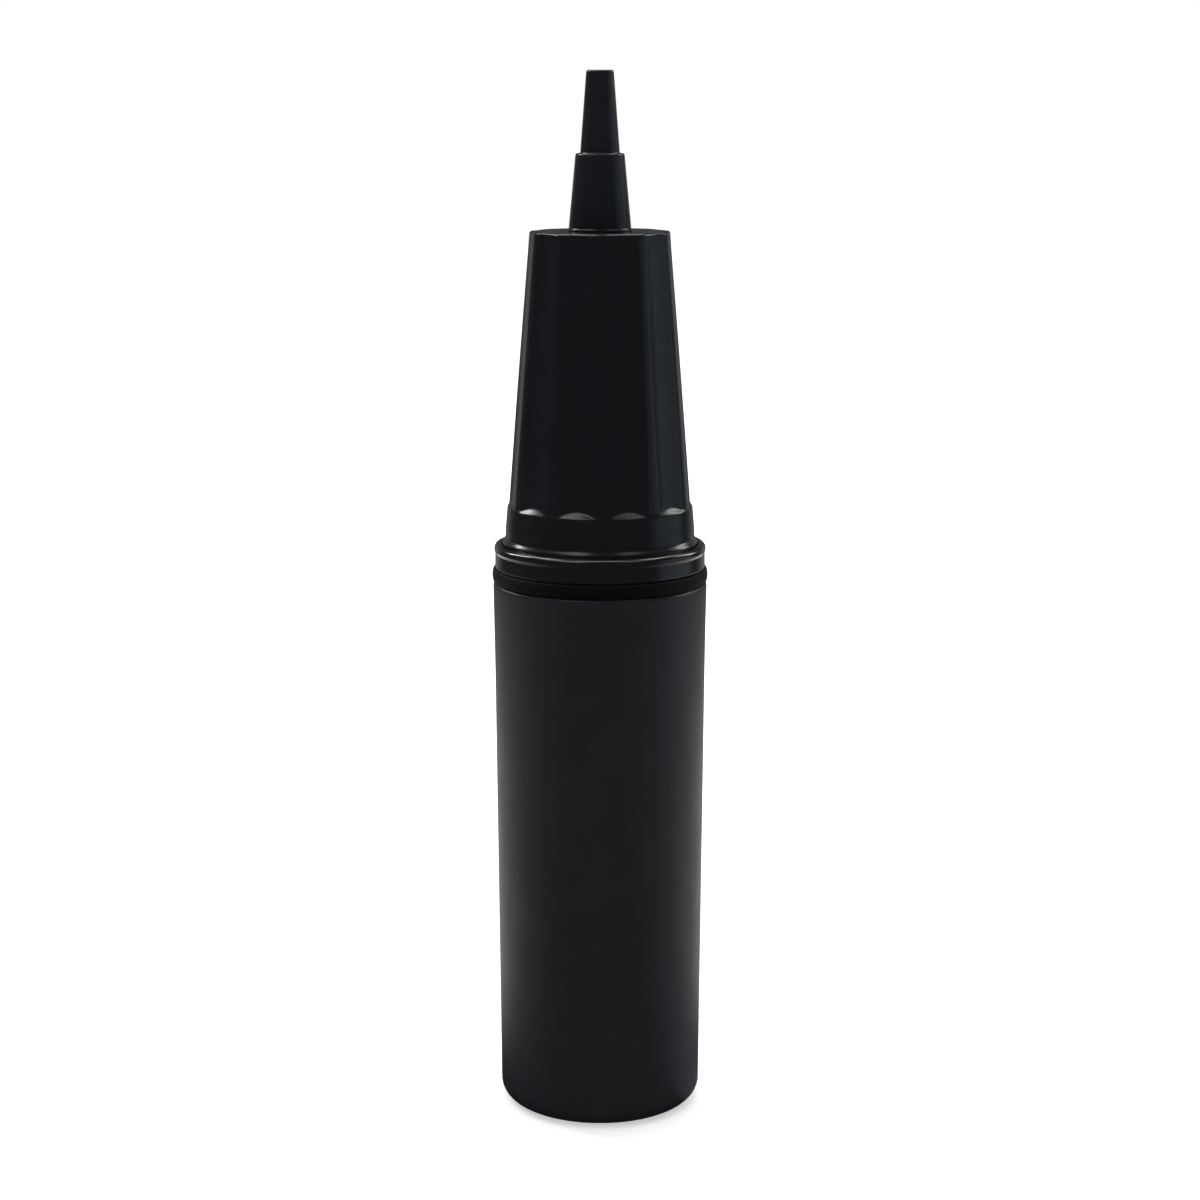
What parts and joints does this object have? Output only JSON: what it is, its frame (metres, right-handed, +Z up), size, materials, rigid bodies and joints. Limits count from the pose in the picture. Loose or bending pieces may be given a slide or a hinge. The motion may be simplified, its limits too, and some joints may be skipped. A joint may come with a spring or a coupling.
{
  "type": "ball inflation pump",
  "caption": "Slim double-acting hand pump with a smooth barrel, a fluted tapered grip on a sliding plunger and a stepped conical nozzle.",
  "frame": {"origin": "centre of the flat foot ring that the closed pump stands on", "axes": "+Z runs up the pump's axis from the foot to the nozzle tip; -Y is the side that faced the viewer"},
  "size_m": [0.0414, 0.0414, 0.2],
  "materials": {
    "barrel_black": "satin moulded polypropylene",
    "collar_gloss": "gloss moulded ABS",
    "grip_gloss": "semi-gloss moulded ABS",
    "nozzle_gloss": "semi-gloss moulded nylon",
    "tube_black": "smooth extruded tube, greased",
    "band_rubber": "matt",
    "seal_rubber": "greased",
    "valve_rubber": "matt",
    "washer_red": "matt",
    "natural_acetal": "natural acetal",
    "valve_grey": "moulded nylon"
  },
  "bodies": {
    "barrel": {"barrel": "barrel_black", "valve_pin": "valve_grey", "sealing_band": "band_rubber", "collar": "collar_gloss"},
    "intake_disc": {"intake_disc": "valve_rubber"},
    "rod_seal": {"rod_seal": "seal_rubber"},
    "guide_bush": {"guide_bush": "natural_acetal"},
    "plunger": {"inner_tube": "tube_black", "piston_head": "natural_acetal", "bumper_ring": "seal_rubber", "tube_gasket": "washer_red", "grip_head": "grip_gloss", "nozzle_gasket": "washer_red", "nozzle": "nozzle_gloss"},
    "piston_ring": {"piston_ring": "seal_rubber"}
  },
  "joints": [
    {"name": "plunger_turn", "type": "hinge", "parent": "barrel", "child": "guide_bush", "pos_m": [0, 0, 0.102], "axis": [0, 0, 1], "continuous": true},
    {"name": "pump_stroke", "type": "slide", "parent": "guide_bush", "child": "plunger", "axis": [0, 0, 1], "range_m": [0, 0.08]},
    {"name": "piston_ring_shift", "type": "slide", "parent": "plunger", "child": "piston_ring", "axis": [0, 0, 1], "range_m": [-0.0014, 0]},
    {"name": "rod_seal_shift", "type": "slide", "parent": "barrel", "child": "rod_seal", "axis": [0, 0, 1], "range_m": [0, 0.0012]},
    {"name": "intake_disc_lift", "type": "slide", "parent": "barrel", "child": "intake_disc", "axis": [0, 0, 1], "range_m": [0, 0.001]}
  ]
}
